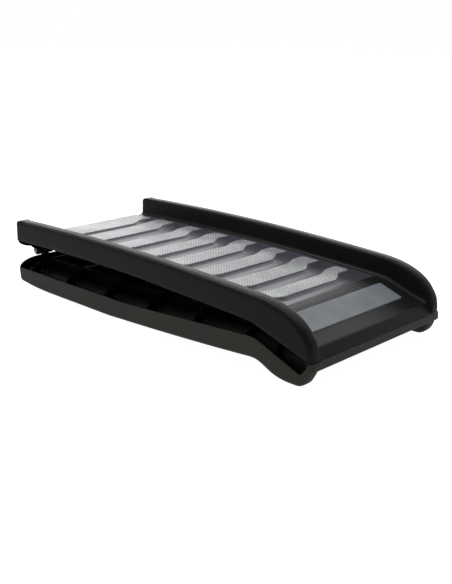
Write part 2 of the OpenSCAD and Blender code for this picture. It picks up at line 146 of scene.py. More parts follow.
bend_z = up_plain(BEND)
up_deck_line = join(
    [(s, up_plain(s)) for s in np.arange(0, 725, 5.0)],
    rounded(
        [(725, up_plain(725)), (BEND, bend_z), (775, bend_z - 1.8), (840, bend_z - 24.5),
         (872, bend_z - 33), (UP_DECK_END, SEAM)],
        [10, 14, 10, 1.5],
    ),
)
up_deck = lookup(up_deck_line)
crest_end = (872.0, bend_z + RAIL_H - NOSE_FALL)
nose_curve = [(BEND, bend_z + RAIL_H), (790, bend_z + RAIL_H - 2), (850, crest_end[1] + 36),
              crest_end]
END_R = 10              # round at the hinge end of the upper rails
corner = [(END_R - END_R * math.cos(a), up_plain(END_R) + RAIL_H - END_R + END_R * math.sin(a))
          for a in np.linspace(0, math.pi / 2, 8)]
up_path = join(
    corner,
    [(s, up_plain(s) + RAIL_H) for s in np.arange(14, BEND, 4.0)],
    bezier(nose_curve, 44),
    bezier([crest_end, (879, 86), (NOSE_FRONT - 0.5, 74), (NOSE_FRONT, SEAM + 0.4)], 22),
)

# ---------------------------------------------------------------- profiles of the lower half

low_deck = lookup(rounded(LOW_DECK, [60, 16], 8))
low_path = join(
    bezier([(3, 20), (4, 4), (30, 2.5), (110, 0)], 22),
    line((110, 0), (330, 0), 5),
    bezier([(330, 0), (430, 4), (600, 11.5), (742, 23)], 90),
    bezier([(742, 23), (778, 25), (784, 0), (838, 0)], 40),
    line((838, 0), (852, 0), 3),
    bezier([(852, 0), (866, 0), (877, 12), (881, 28)], 20),
    bezier([(881, 28), (883, 36), (888, 36), (889, 46)], 10),
)
low_rim = lookup(join(
    [(s, low_deck(s) + SKIRT) for s in np.arange(0, 731, 10.0)],
    rounded(
        [(735, low_deck(735) + SKIRT), (747, 65), (761, 63), (862, 24.5), (868, 29), (878, LIP_TOP - 7),
         (884, LIP_TOP - 1), (890, LIP_TOP - 1)],
        [3, 3, 2.5, 3, 3, 3], 4),
))


# ---------------------------------------------------------------- treads

def sweep(y):
    """How far along its swept end a tread is, from 0 to 1. It reaches 1 before the corner."""
    return smooth((abs(y) - (TREAD_HALF - SWEEP_LEN)) / (SWEEP_LEN * 0.65))


def tread_span(i, y):
    """First and last station of a tread at a distance y from the middle."""
    start, width = TREADS[i]
    back = start - SWEEP_HINGE * sweep(y)
    over = abs(y) - (TREAD_HALF - TREAD_CORNER_R)
    if over > 0:
        back += TREAD_CORNER_R * (1 - math.sqrt(max(0.0, 1 - (over / TREAD_CORNER_R) ** 2)))
    return max(back, 0.6), start + width - SWEEP_NOSE * sweep(y)


def groove(s, y):
    """How deep the walking surface dips between the treads."""
    y = abs(y)
    if y > 171 or s > 750:
        return 0.0
    away = 60.0
    for i in range(len(TREADS)):
        a, b = tread_span(i, min(y, TREAD_HALF))
        away = min(away, max(a - s, s - b, y - TREAD_HALF))
    depth = GROOVE_DEPTH * smooth((away + 0.5) / 12.0)
    return depth * (1 - smooth((y - 157) / 13)) * (1 - smooth((s - 737) / 11)) * smooth(s / 6)


# ---------------------------------------------------------------- rounded nose corners, seen from above

CORNER_R = 10.0
CORNER_REACH = 3        # how far inside a corner the blend to the straight end starts


def plan_end(y):
    """How far short of the full length the ramp ends, at a distance y from the middle."""
    over = min(max(abs(y) - (HALF_W - CORNER_R), 0.0), CORNER_R)
    return CORNER_R - math.sqrt(CORNER_R ** 2 - over ** 2)


def keep_in_plan(s, y, end, inset=0.0):
    """A station pulled back, with a soft corner, to the rounded outline of a nose that stops at end."""
    room = end - plan_end(y) - inset - s
    start_y = HALF_W - CORNER_R - CORNER_REACH
    if room > 25 or abs(y) < start_y:
        return s
    soft = 2.4 * smooth((abs(y) - start_y) / 6)
    return s + room - (room + math.sqrt(room * room + soft * soft)) / 2


# ---------------------------------------------------------------- mesh helpers

def new_object(name, verts, faces, mats, body, replaces=(), face_mats=None, sharp=35, flat=False):
    """A piece from vertices in millimetres, in the row frame."""
    mesh = bpy.data.meshes.new(name)
    mesh.from_pydata([tuple(c * MM for c in v) for v in verts], [], faces)
    if face_mats is not None:
        mesh.polygons.foreach_set("material_index", face_mats)
    mesh.validate()
    if not flat:
        mesh.polygons.foreach_set("use_smooth", [True] * len(mesh.polygons))
        mesh.set_sharp_from_angle(angle=math.radians(sharp))
    for m in mats:
        mesh.materials.append(m)
    mesh.update()
    obj = bpy.data.objects.new(name, mesh)
    bpy.context.scene.collection.objects.link(obj)
    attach(obj, body)
    if replaces:
        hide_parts(*replaces)
    return obj


def signed_area(outline):
    """Twice the area inside an outline, above 0 where it runs anticlockwise."""
    return sum(a[0] * b[1] - b[0] * a[1] for a, b in zip(outline, outline[1:] + outline[:1]))


class Build:
    """Collects vertices and faces of one piece."""

    def __init__(self):
        self.verts, self.faces = [], []

    def add(self, verts, faces):
        k = len(self.verts)
        self.verts += [tuple(v) for v in verts]
        self.faces += [tuple(k + i for i in f) for f in faces]

    def prism(self, outline, place, depth):
        """outline is a list of 2-D points; place(p, t) puts one in space, t = 0 or depth."""
        n = len(outline)
        if signed_area(outline) < 0:
            outline = outline[::-1]
        verts = [place(p, 0) for p in outline] + [place(p, depth) for p in outline]
        faces = [tuple(range(n))[::-1], tuple(range(n, 2 * n))]
        faces += [(i, (i + 1) % n, n + (i + 1) % n, n + i) for i in range(n)]
        self.add(verts, faces)

    def lathe(self, profile, centre, side, n=48, bore=None):
        """profile is a list of (y from the outer face, radius), turned round centre on one side."""
        cx, cz = centre
        rings = []
        for y, r in profile:
            rings.append([(cx + r * math.cos(2 * math.pi * k / n), side * (HALF_W - y),
                           cz + r * math.sin(2 * math.pi * k / n)) for k in range(n)])
        verts = [v for ring in rings for v in ring]
        faces = []
        closed = len(rings) if bore else len(rings) - 1
        for i in range(closed):
            j = (i + 1) % len(rings)
            for k in range(n):
                m = (k + 1) % n
                quad = (i * n + k, i * n + m, j * n + m, j * n + k)
                faces.append(quad if side > 0 else quad[::-1])
        if not bore:
            first, last = tuple(range(n)), tuple(range((len(rings) - 1) * n, len(rings) * n))
            faces.append(first[::-1] if side > 0 else first)
            faces.append(last if side > 0 else last[::-1])
        self.add(verts, faces)


# ---------------------------------------------------------------- moulded shells

DECK_YS = [*np.arange(0, 74, 9.0), *np.arange(76, 160, 5.0), 160.5, 164, 167.5, 170.5]
COVE_N, IN_N, OUT_N = 6, 7, 9               # points round the cove and a rail's two top corners
DECK_KIND, RAIL_KIND, WALL_KIND = 0, 1, 2   # what a point of a section lies on


class Half:
    """The profiles of one half. up is 1 where the rails stand up from the deck, -1 where they hang."""

    def __init__(self, name, up, path, deck, rim, deck_end, end, r_out, tip_dir):
        self.name, self.up, self.path, self.deck, self.rim = name, up, path, deck, rim
        self.deck_end, self.end, self.r_out, self.tip_dir = deck_end, end, r_out, tip_dir
        self.r_in = 7.0

    def inward_angles(self):
        """The direction into the rail at each point of its crest line, turned to tip_dir at the tip."""
        tan = np.gradient(np.array(self.path), axis=0)
        tan /= np.linalg.norm(tan, axis=1)[:, None]
        inward = np.stack([tan[:, 1], -tan[:, 0]], 1) * self.up
        angles = np.unwrap(np.arctan2(inward[:, 1], inward[:, 0]))
        tip = math.atan2(self.tip_dir[1], self.tip_dir[0])
        tip += 2 * math.pi * round((angles[-1] - tip) / (2 * math.pi))
        return [a + (tip - a) * smooth((s - (self.deck_end - 34)) / 34)
                for a, (s, _) in zip(angles, self.path)]

    def deck_station(self, i):
        """Station of the deck's row beside a point of the crest line."""
        s = self.path[i][0]
        if i == 0:
            return 0.0
        if s > BEND:
            return BEND + (s - BEND) * (self.deck_end - BEND) / (self.path[-1][0] - BEND)
        return s

    def section(self, i, angle):
        """Half a section, as (station, y, z, kind), from the middle over the rail to the outer rim."""
        up = self.up
        s, z = self.path[i]
        d = (math.cos(angle), math.sin(angle))
        sd = self.deck_station(i)
        dz = self.deck(sd)
        ramp = smooth((s - 1) / 26) if s < 40 else 1.0
        tall = max(0.05, (z - dz) * up)
        ro = 0.8 + (self.r_out - 0.8) * ramp
        ri = min(0.8 + (self.r_in - 0.8) * ramp, 0.45 * tall)
        rc = min(COVE, 0.42 * tall)
        half = [(sd, y, dz - up * groove(sd, y), DECK_KIND) for y in DECK_YS]
        for t in quarter(COVE_N)[1:]:
            half.append((sd, INNER_Y - COVE + COVE * math.sin(t), dz + up * rc * (1 - math.cos(t)),
                         RAIL_KIND))
        base = (sd, dz + up * rc)
        top = (s + ri * d[0], z + ri * d[1])
        for f in (0.33, 0.67):
            half.append((base[0] + (top[0] - base[0]) * f, INNER_Y, base[1] + (top[1] - base[1]) * f,
                         RAIL_KIND))
        for t in quarter(IN_N):
            q = ri * (1 - math.sin(t))
            half.append((s + q * d[0], INNER_Y + ri * (1 - math.cos(t)), z + q * d[1], RAIL_KIND))
        half.append((s, 0.5 * (INNER_Y + ri + HALF_W - ro), z, RAIL_KIND))
        for t in quarter(OUT_N):
            q = ro * (1 - math.cos(t))
            half.append((s + q * d[0], HALF_W - ro + ro * math.sin(t), z + q * d[1], RAIL_KIND))
        wall_s, wall_z = s + ro * d[0], z + ro * d[1]
        rim_s = max(wall_s, 0.0) if i else (0.0 if up > 0 else 2.0)
        rim_z = self.rim(rim_s)
        bead = min(1.1, 0.4 * max(0.0, (wall_z - rim_z) * up))
        for f in (0.25, 0.5, 0.75):
            half.append((wall_s + (rim_s - wall_s) * f, HALF_W, wall_z + (rim_z + up * bead - wall_z) * f,
                         WALL_KIND))
        half.append((rim_s, HALF_W, rim_z + up * bead, WALL_KIND))
        return half, (rim_s, rim_z, bead)


def quarter(n):
    """The n + 1 angles that split a quarter turn."""
    return [math.pi / 2 * k / n for k in range(n + 1)]


def sheet_normals(grid, up):
    """The normals of a sheet of points, pointing out of the material."""
    nrm = np.cross(np.gradient(grid, axis=0), np.gradient(grid, axis=1)) * up
    length = np.linalg.norm(nrm, axis=2)
    for i, k in np.argwhere(length < 1e-9):
        nrm[i, k] = nrm[i, k - 1] if k else (0, 0, up)
        length[i, k] = max(1e-9, np.linalg.norm(nrm[i, k]))
    return nrm / length[:, :, None]


def inner_skin(half, grid, kinds):
    """The sheet's other face: a flat deck underside, and the rails and walls one wall thickness in."""
    inner = grid - sheet_normals(grid, half.up) * WALL
    on_deck, on_wall = kinds == DECK_KIND, kinds == WALL_KIND
    under = np.array([half.deck(s) - half.up * DECK_T for s in grid[:, 0, 0]])
    inner[:, on_deck, 0] = grid[:, :1, 0]
    inner[:, on_deck, 1] = grid[:, on_deck, 1]
    inner[:, on_deck, 2] = under[:, None]
    inner[:, on_wall] = grid[:, on_wall]
    inner[:, on_wall, 1] = HALF_W - WALL
    return inner


def rim_edge(half, rim):
    """The rounded edge that joins the two skins at the outer wall's rim."""
    s, z, bead = rim
    return [(keep_in_plan(s, HALF_W, half.end, WALL / 2 * (1 - math.cos(t))),
             HALF_W - WALL / 2 + WALL / 2 * math.cos(t), z + half.up * bead * (1 - math.sin(t)))
            for t in np.radians([30, 60, 90, 120, 150])]


def column_loop(half, outer, inner, rim):
    """A closed loop: from the -Y rim over the top to the +Y rim, round its edge and back inside."""
    edge = rim_edge(half, rim)
    out_p = [(keep_in_plan(p[0], p[1], half.end), p[1], p[2]) for p in outer]
    in_p = [(keep_in_plan(p[0], p[1], half.end, WALL), p[1], p[2]) for p in inner]
    in_p[-1] = (keep_in_plan(rim[0], HALF_W, half.end, WALL), HALF_W - WALL, rim[1] + half.up * rim[2])
    loop = mirrored(out_p[:0:-1]) + out_p + edge + in_p[::-1] + mirrored(in_p[:0:-1])[::-1]
    loop += mirrored(edge[::-1])
    return [(X0 + p[0], p[1], p[2]) for p in loop]


def mirrored(points):
    return [(p[0], -p[1], p[2]) for p in points]


def moulding(half, mats, parts):
    """One half's shell: deck, coves, inner walls, rounded rails, outer walls and their rims."""
    up, n = half.up, len(half.path)
    columns = [half.section(i, a) for i, a in enumerate(half.inward_angles())]
    grid = np.array([c[0] for c in columns])[:, :, :3]
    kinds = np.array([q[3] for q in columns[0][0]])
    inner = inner_skin(half, grid, kinds)
    loops = [column_loop(half, grid[i], inner[i], columns[i][1]) for i in range(n)]
    m, deck_k, size = len(kinds), len(DECK_YS), len(loops[0])
    sheet = 2 * m - 1
    edge_n = (size - 2 * sheet) // 2
    faces, face_mats = [], []
    for i in range(n - 1):
        before_nose = grid[i, 0, 0] < BEND + 2.5
        for k in range(size):
            q = (k + 1) % size
            quad = (i * size + k, i * size + q, (i + 1) * size + q, (i + 1) * size + k)
            faces.append(quad if up > 0 else quad[::-1])
            on_deck = m - deck_k <= k < m + deck_k - 2
            # Deck faces before the nose take the valley material, whose lighter colour is a painted sheen.
            face_mats.append(1 if before_nose and on_deck else 0)
    for first, turn in ((0, up > 0), ((n - 1) * size, up < 0)):
        caps = end_cap(first, sheet, edge_n)
        faces += [face[::-1] if turn else face for face in caps]
        face_mats += [0] * len(caps)
    verts = [p for loop in loops for p in loop]
    stands_for = [f"{half.name}_{part}" for part in parts]
    return new_object(f"{half.name}_moulding", verts, faces, mats, f"{half.name}_half",
                      stands_for, face_mats, sharp=40)


def end_cap(first, sheet, edge_n):
    """The faces between the two skins in one end's loop: quads, then a polygon at each rim."""
    def inside(k):
        return first + sheet + edge_n + (sheet - 1 - k)

    quads = [(first + k, inside(k), inside(k + 1), first + k + 1) for k in range(sheet - 1)]
    plus = (first + sheet - 1, *(first + sheet + e for e in range(edge_n)), inside(sheet - 1))
    minus = (inside(0), *(first + 2 * sheet + edge_n + e for e in range(edge_n)), first)
    return quads + [plus[::-1], minus[::-1]]


def tidy_mesh(obj, dist=2e-5):
    """Joins points that fall together and drops faces with no area."""
    bm = bmesh.new()
    bm.from_mesh(obj.data)
    bmesh.ops.remove_doubles(bm, verts=bm.verts, dist=dist)
    bmesh.ops.dissolve_degenerate(bm, edges=bm.edges, dist=dist / 4)
    bmesh.ops.recalc_face_normals(bm, faces=bm.faces)
    bm.to_mesh(obj.data)
    bm.free()
    obj.data.set_sharp_from_angle(angle=math.radians(40))


# ---------------------------------------------------------------- materials

def material(name):
    mat = bpy.data.materials.new(name)
    mat.use_nodes = True
    nodes, links = mat.node_tree.nodes, mat.node_tree.links
    bsdf = nodes["Principled BSDF"]
    return mat, nodes, links, bsdf


def coords(nodes):
    return nodes.new("ShaderNodeTexCoord").outputs["Object"]


def noise(nodes, links, vec, scale, detail=3.0, rough=0.5):
    tex = nodes.new("ShaderNodeTexNoise")
    tex.inputs["Scale"].default_value = scale
    tex.inputs["Detail"].default_value = detail
    tex.inputs["Roughness"].default_value = rough
    links.new(vec, tex.inputs["Vector"])
    return tex.outputs["Fac"]


def span(nodes, links, value, lo, hi, a, b):
    node = nodes.new("ShaderNodeMapRange")
    node.inputs["From Min"].default_value = lo
    node.inputs["From Max"].default_value = hi
    node.inputs["To Min"].default_value = a
    node.inputs["To Max"].default_value = b
    links.new(value, node.inputs["Value"])
    return node.outputs["Result"]


def mix(nodes, links, fac, a, b):
    node = nodes.new("ShaderNodeMix")
    node.data_type = "RGBA"
    for socket, value in ((node.inputs[0], fac), (node.inputs[6], a), (node.inputs[7], b)):
        if isinstance(value, (tuple, list)):
            socket.default_value = (*value, 1.0)
        elif isinstance(value, (int, float)):
            socket.default_value = value
        else:
            links.new(value, socket)
    return node.outputs[2]


def maths(nodes, links, op, a, b=None):
    node = nodes.new("ShaderNodeMath")
    node.operation = op
    for socket, value in zip(node.inputs, (a, b)):
        if value is None:
            continue
        if isinstance(value, (int, float)):
            socket.default_value = value
        else:
            links.new(value, socket)
    return node.outputs[0]


def bump(nodes, links, bsdf, height, distance, strength=1.0, base=None):
    node = nodes.new("ShaderNodeBump")
    node.inputs["Distance"].default_value = distance
    node.inputs["Strength"].default_value = strength
    links.new(height, node.inputs["Height"])
    if base is not None:
        links.new(base, node.inputs["Normal"])
    if bsdf is not None:
        links.new(node.outputs["Normal"], bsdf.inputs["Normal"])
    return node.outputs["Normal"]


def plastic(name, dark, light, rough=(0.42, 0.52), specular=0.25, grain=0.00012):
    """Satin moulded plastic: fine grain, faint flow marks and cloudy gloss."""
    mat, nodes, links, bsdf = material(name)
    vec = coords(nodes)
    cloud = noise(nodes, links, vec, 9, 4, 0.55)
    tone = span(nodes, links, cloud, 0.35, 0.68, 0, 1)
    links.new(mix(nodes, links, tone, dark, light), bsdf.inputs["Base Color"])
    fine = noise(nodes, links, vec, 1500, 2, 0.6)
    gloss = maths(nodes, links, "ADD", span(nodes, links, cloud, 0.3, 0.7, rough[0], rough[1]),
                  span(nodes, links, fine, 0.3, 0.7, -0.03, 0.03))
    links.new(gloss, bsdf.inputs["Roughness"])
    bsdf.inputs["Specular IOR Level"].default_value = specular
    slow = noise(nodes, links, vec, 55, 2, 0.5)
    first = bump(nodes, links, None, slow, 0.0006, 0.12)
    bump(nodes, links, bsdf, fine, grain, 0.5, first)
    return mat


def knurl(nodes, links, vec, pitch):
    """Two crossing sets of diagonal ridges, from 0 to 1."""
    sep = nodes.new("ShaderNodeSeparateXYZ")
    links.new(vec, sep.inputs[0])
    total = None
    k = 2 * math.pi / pitch
    for sign in (1, -1):
        along = maths(nodes, links, "MULTIPLY", sep.outputs["X"], k * 0.7071)
        across = maths(nodes, links, "MULTIPLY", sep.outputs["Y"], k * 0.7071 * sign)
        wave = maths(nodes, links, "SINE", maths(nodes, links, "ADD", along, across))
        wave = span(nodes, links, wave, -1, 1, 0, 1)
        total = wave if total is None else maths(nodes, links, "MULTIPLY", total, wave)
    return total


def make_tread(name, dark, light):
    mat, nodes, links, bsdf = material(name)
    vec = coords(nodes)
    ridges = knurl(nodes, links, vec, 0.0056)
    cloud = noise(nodes, links, vec, 14, 4, 0.6)
    # The knurl ridges darken the base colour in their grooves: painted shade. The cloud adds random tone.
    tone = maths(nodes, links, "ADD", span(nodes, links, ridges, 0.1, 0.6, 0, 0.6),
                 span(nodes, links, cloud, 0.35, 0.65, 0, 0.4))
    links.new(mix(nodes, links, tone, dark, light), bsdf.inputs["Base Color"])
    fine = noise(nodes, links, vec, 900, 2, 0.6)
    links.new(span(nodes, links, fine, 0.3, 0.7, 0.34, 0.46), bsdf.inputs["Roughness"])
    bsdf.inputs["Specular IOR Level"].default_value = 0.75
    first = bump(nodes, links, None, ridges, 0.0006, 0.7)
    bump(nodes, links, bsdf, fine, 0.0001, 0.4, first)
    return mat


def make_pad(name, dark, light):
    mat, nodes, links, bsdf = material(name)
    vec = coords(nodes)
    mesh = knurl(nodes, links, vec, 0.0034)
    cloud = noise(nodes, links, vec, 16, 4, 0.6)
    # The mesh ridges darken the base colour in its grooves: painted shade. The cloud adds random tone.
    tone = maths(nodes, links, "ADD", span(nodes, links, mesh, 0.1, 0.6, 0, 0.5),
                 span(nodes, links, cloud, 0.3, 0.7, 0, 0.5))
    links.new(mix(nodes, links, tone, dark, light), bsdf.inputs["Base Color"])
    fine = noise(nodes, links, vec, 1400, 3, 0.7)
    links.new(span(nodes, links, fine, 0.3, 0.7, 0.5, 0.72), bsdf.inputs["Roughness"])
    bsdf.inputs["Specular IOR Level"].default_value = 0.4
    first = bump(nodes, links, None, mesh, 0.0003, 0.5)
    bump(nodes, links, bsdf, fine, 0.0002, 0.6, first)
    return mat


def make_steel(name, tone, rough):
    mat, nodes, links, bsdf = material(name)
    vec = coords(nodes)
    fine = noise(nodes, links, vec, 700, 3, 0.6)
    cloud = noise(nodes, links, vec, 60, 3, 0.6)
    patchy = span(nodes, links, cloud, 0.3, 0.7, 0, 1)
    dull = tuple(c * 0.7 for c in tone)
    links.new(mix(nodes, links, patchy, dull, tone), bsdf.inputs["Base Color"])
    links.new(span(nodes, links, fine, 0.3, 0.7, rough - 0.06, rough + 0.08), bsdf.inputs["Roughness"])
    bsdf.inputs["Metallic"].default_value = 1.0
    bump(nodes, links, bsdf, fine, 0.00006, 0.4)
    return mat


UPPER = plastic("upper_plastic", (0.008, 0.008, 0.0083), (0.0115, 0.0115, 0.0118), (0.4, 0.5), 0.17)
LOWER = plastic("lower_plastic", (0.036, 0.036, 0.031), (0.05, 0.051, 0.042), (0.46, 0.58))
# The ribs are moulded in their half's plastic; this near-black colour with little gloss is painted shade
# for the hollow inside of the halves.
SHADED_RIB = plastic("rib_painted_shade", (0.003, 0.003, 0.003), (0.005, 0.005, 0.005), (0.6, 0.7), 0.05)
# The valley is the shells' black plastic; its lighter purple-grey base colour is a painted sheen, standing
# in for the grazing reflection of the bright backdrop.
VALLEY_SHEEN = plastic("valley_painted_sheen", (0.05, 0.047, 0.06), (0.072, 0.066, 0.088), (0.26, 0.34), 0.25, 0.00004)
TREAD = make_tread("tread_rubber", (0.12, 0.132, 0.142), (0.58, 0.59, 0.6))
PAD = make_pad("pad_rubber", (0.15, 0.168, 0.19), (0.29, 0.315, 0.345))
PIN = make_steel("pin_steel", (0.32, 0.32, 0.33), 0.38)
CLIP = make_steel("clip_steel", (0.09, 0.09, 0.095), 0.45)

# ---------------------------------------------------------------- shells

UPPER_HALF = Half("upper", 1, up_path, up_deck, up_rim, UP_DECK_END, NOSE_FRONT, 10.0, (-0.962, 0.272))
LOWER_HALF = Half("lower", -1, low_path, low_deck, low_rim, LOW_DECK_END, low_path[-1][0], 9.0,
                  (-1.0, 0.05))

# Each shell's deck takes the valley material: a painted sheen on the black plastic.
upper = moulding(UPPER_HALF, [UPPER, VALLEY_SHEEN], ("deck", "nose_face", "near_rail", "far_rail"))
lower = moulding(LOWER_HALF, [LOWER, VALLEY_SHEEN], ("deck", "near_rail", "far_rail"))
for shell in (upper, lower):
    tidy_mesh(shell)

# ---------------------------------------------------------------- front lip of the lower half

LIP_HALF, LIP_STEPS = 206.3, 80


def front_lip():
    """The lip's section, repeated across the nose and pulled back at its corners."""
    section = rounded(
        [(880.6, 34), (885, 31.9), (889, 35), (888.5, LIP_TOP), (884.4, LIP_TOP), (884.4, 39.5),
         (880.6, 35.5)],
        [1.5, 1.5, 0.9, 0.9, 2, 0.8], 4)
    if signed_area(section) > 0:
        section = section[::-1]
    ring = len(section)
    ys = np.linspace(-LIP_HALF, LIP_HALF, LIP_STEPS + 1)
    verts = [(X0 + s - plan_end(y), y, z) for y in ys for s, z in section]
    faces = [(i * ring + k, i * ring + (k + 1) % ring, (i + 1) * ring + (k + 1) % ring, (i + 1) * ring + k)
             for i in range(LIP_STEPS) for k in range(ring)]
    faces += [tuple(range(ring))[::-1], tuple(LIP_STEPS * ring + k for k in range(ring))]
    new_object("lower_front_lip", verts, faces, [LOWER], "lower_half", ["lower_lip"])


front_lip()

# ---------------------------------------------------------------- ribs

FIRST_RIB, LAST_RIB, NOSE_RIB, RIB_STEPS = 50, 733, 801, 5
RIB_STATIONS = [FIRST_RIB + (LAST_RIB - FIRST_RIB) * i / RIB_STEPS for i in range(RIB_STEPS + 1)]
RIB_STATIONS.append(NOSE_RIB)
LONG_RIB = HALF_W - LONG_RIB_BACK


def rib_edge(half, s):
    """Height of a half's ribs' free edges, a clearance away from the middle of the space between decks."""
    clear = RIB_CLEAR_HINGE + (RIB_CLEAR_BEND - RIB_CLEAR_HINGE) * min(s / BEND, 1)
    return (up_deck(s) + low_deck(s)) / 2 + half.up * clear


def cross_outline(up, rib_z, deck_z, crest_z, rim_z):
    """A cross rib's outline: level between the long ribs, then round to the rims and up into the rails."""
    side = [(LONG_RIB, rib_z)]
    for a in range(15, 76, 15):
        t = math.radians(a)
        side.append((LONG_RIB + (LONG_RIB_BACK - WALL / 2) * math.sin(t),
                     rim_z + (rib_z - rim_z) * math.cos(t)))
    wall_y, inner = HALF_W - WALL / 2, INNER_Y + WALL / 2
    side += [(wall_y, rim_z), (wall_y, crest_z - up * 9), (wall_y - 8, crest_z), (inner + 6, crest_z),
             (inner, crest_z - up * 7), (inner, deck_z)]
    return side + [(-y, z) for y, z in side[::-1]]


def cross_rib(b, s, outline, thick):
    b.prism(outline, lambda p, t: (X0 + s + t, p[0], p[1]), thick)


def long_rib(b, half, side):
    up, deck = half.up, half.deck
    stations = [*np.arange(3, 741, 18.0), 745, 775, 800, 820, 840]
    outline = [(s, deck(s) - up * 3) for s in stations]
    outline += [(s, rib_edge(half, s)) for s in stations[::-1]]
    b.prism(outline, lambda p, t: (X0 + p[0], side * LONG_RIB - WALL / 2 + t, p[1]), WALL)


def ribs(half):
    """The cross ribs, the end wall and the long ribs of one half, as one piece."""
    up, deck, rim, crest = half.up, half.deck, half.rim, lookup(sorted(half.path))
    b = Build()
    for s in RIB_STATIONS:
        outline = cross_outline(up, rib_edge(half, s), deck(s) - up * 3, crest(s) - up * 2, rim(s) + up)
        cross_rib(b, s - WALL / 2, outline, WALL)
    end_wall = cross_outline(up, HINGE[2] + up * RIB_CLEAR_HINGE, deck(2) - up * 2, crest(12) - up * 10,
                             rim(2) + up * 0.5)
    cross_rib(b, 0.5, end_wall, 3.5)
    for side in (-1, 1):
        long_rib(b, half, side)
    stands_for = [f"{half.name}_{part}" for part in ("end_wall", "near_long_rib", "far_long_rib")]
    stands_for += [f"{half.name}_cross_rib_{i + 1}" for i in range(len(RIB_STATIONS))]
    # The ribs take the near-black material: painted shade, not their half's plastic.
    new_object(f"{half.name}_ribs", b.verts, b.faces, [SHADED_RIB], f"{half.name}_half",
               stands_for, flat=True)


ribs(UPPER_HALF)
ribs(LOWER_HALF)

# ---------------------------------------------------------------- hinges

# distances from the outer face
UPPER_KNUCKLES, LOWER_KNUCKLES = [(50, 62), (81, 93)], [(62.5, 80.5)]
CLIP_Y, CLIP_T, PIN_END = 93.0, 1.5, 97.0
SEAT_Y = 50.0           # where the pin's head meets the first knuckle
PIN_R, HEAD_R, CLIP_GROOVE_R, CLIP_R = 3.5, 6.5, 2.6, 6.0
HINGE_AT = (X0 + HINGE_S, HINGE[2])


def knuckle_profile(y0, y1):
    """A bored barrel with a shallow recess in each end."""
    start = [(y0 + 0.9, BORE_R), (y0 + 0.9, 7.6), (y0, 8.2), (y0, KNUCKLE_R - 0.8), (y0 + 0.8, KNUCKLE_R)]
    return start + [(y0 + y1 - y, r) for y, r in start[::-1]]


def knuckles(half, mat, spans, words):
    """One half's knuckles, each on a web that runs into the end wall."""
    b = Build()
    up = half.up
    deck_z = half.deck(0) - up * 2
    web = [(0.2, HINGE[2] + up * BORE_R), (8, HINGE[2] + up * 7.3), (12.5, HINGE[2] + up * 16),
           (17, deck_z), (0.2, deck_z)]
    for side in (-1, 1):
        for y0, y1 in spans:
            b.lathe(knuckle_profile(y0, y1), HINGE_AT, side, 56, bore=True)
            low_y = side * (HALF_W - (y0 if side < 0 else y1)) + 0.8
            b.prism(web, lambda p, t, y=low_y: (X0 + p[0], y + t, p[1]), y1 - y0 - 1.6)
    new_object(f"{half.name}_knuckles", b.verts, b.faces, [mat], f"{half.name}_half",
               [f"{half.name}_{word}_knuckle" for word in words])


def pin(side, word):
    """A pin with a domed, dimpled head and a groove for its clip."""
    head = [(46.3, 0.6), (46.9, 0.8), (46.9, 2.6), (46.4, 2.9), (46.4, 4.9), (46.9, 6.1), (47.6, HEAD_R),
            (49.4, HEAD_R), (SEAT_Y, HEAD_R - 0.3)]
    shank = [(SEAT_Y, PIN_R), (CLIP_Y, PIN_R), (CLIP_Y, CLIP_GROOVE_R), (CLIP_Y + CLIP_T, CLIP_GROOVE_R),
             (CLIP_Y + CLIP_T, PIN_R), (PIN_END - 0.7, PIN_R), (PIN_END, PIN_R - 0.7)]
    b = Build()
    b.lathe(head + shank, HINGE_AT, side, 48)
    new_object(f"{word}_pin", b.verts, b.faces, [PIN], "upper_half",
               [f"{word}_hinge_pin"], sharp=30)


def clip(side, word):
    b = Build()
    b.lathe([(93.1, 2.65), (93.0, 5.6), (93.3, CLIP_R), (94.1, CLIP_R), (94.4, 5.6), (94.4, 2.65)],
            HINGE_AT, side, 40, bore=True)
    new_object(f"{word}_clip", b.verts, b.faces, [CLIP], "upper_half",
               [f"{word}_pin_clip"], sharp=30)


knuckles(UPPER_HALF, UPPER, UPPER_KNUCKLES, ("near_outer", "near_inner", "far_outer", "far_inner"))
knuckles(LOWER_HALF, LOWER, LOWER_KNUCKLES, ("near", "far"))
for side, word in ((-1, "near"), (1, "far")):
    pin(side, word)
    clip(side, word)

# ---------------------------------------------------------------- treads and pads

TREAD_STEPS = (0, 0.25, 0.7, 1.3, 2, 3, 4.5, 6, 8, 10, *range(12, 61, 4), 66, 72, 78, 90, 105, 120, 140)
PAD_STEPS = (0, 0.15, 0.5, 1, 1.6, 2.4, 3.4, 5, 10, 30, 60, 100)
EDGE_STEPS = (0, 0.25, 0.7, 1.3, 2.0, 3.0)
ALONG_STEP, SINK = 5, 0.7               # spacing along a slab, and how far it sinks into its deck


def rows_across(half_width, steps):
    """Distances from the middle, on both sides, at steps in from the edges and in the middle."""
    ys = {round(half_width - v, 3) for v in (*steps, half_width)}
    return sorted(ys | {-y for y in ys})


def steps_across(total):
    """Distances across a width, close together near both edges."""
    edge = EDGE_STEPS[-1]
    n = max(2, int(round((total - 2 * edge) / ALONG_STEP)))
    middle = [edge + (total - 2 * edge) * i / n for i in range(1, n)]
    return [*EDGE_STEPS, *middle, *(total - v for v in EDGE_STEPS[::-1])]


def pillow(d, t, r):
    """Height of a surface with rounded edges, d from the edge."""
    if d >= r:
        return t
    return t * math.sqrt(max(0.0, 1 - (1 - d / r) ** 2))


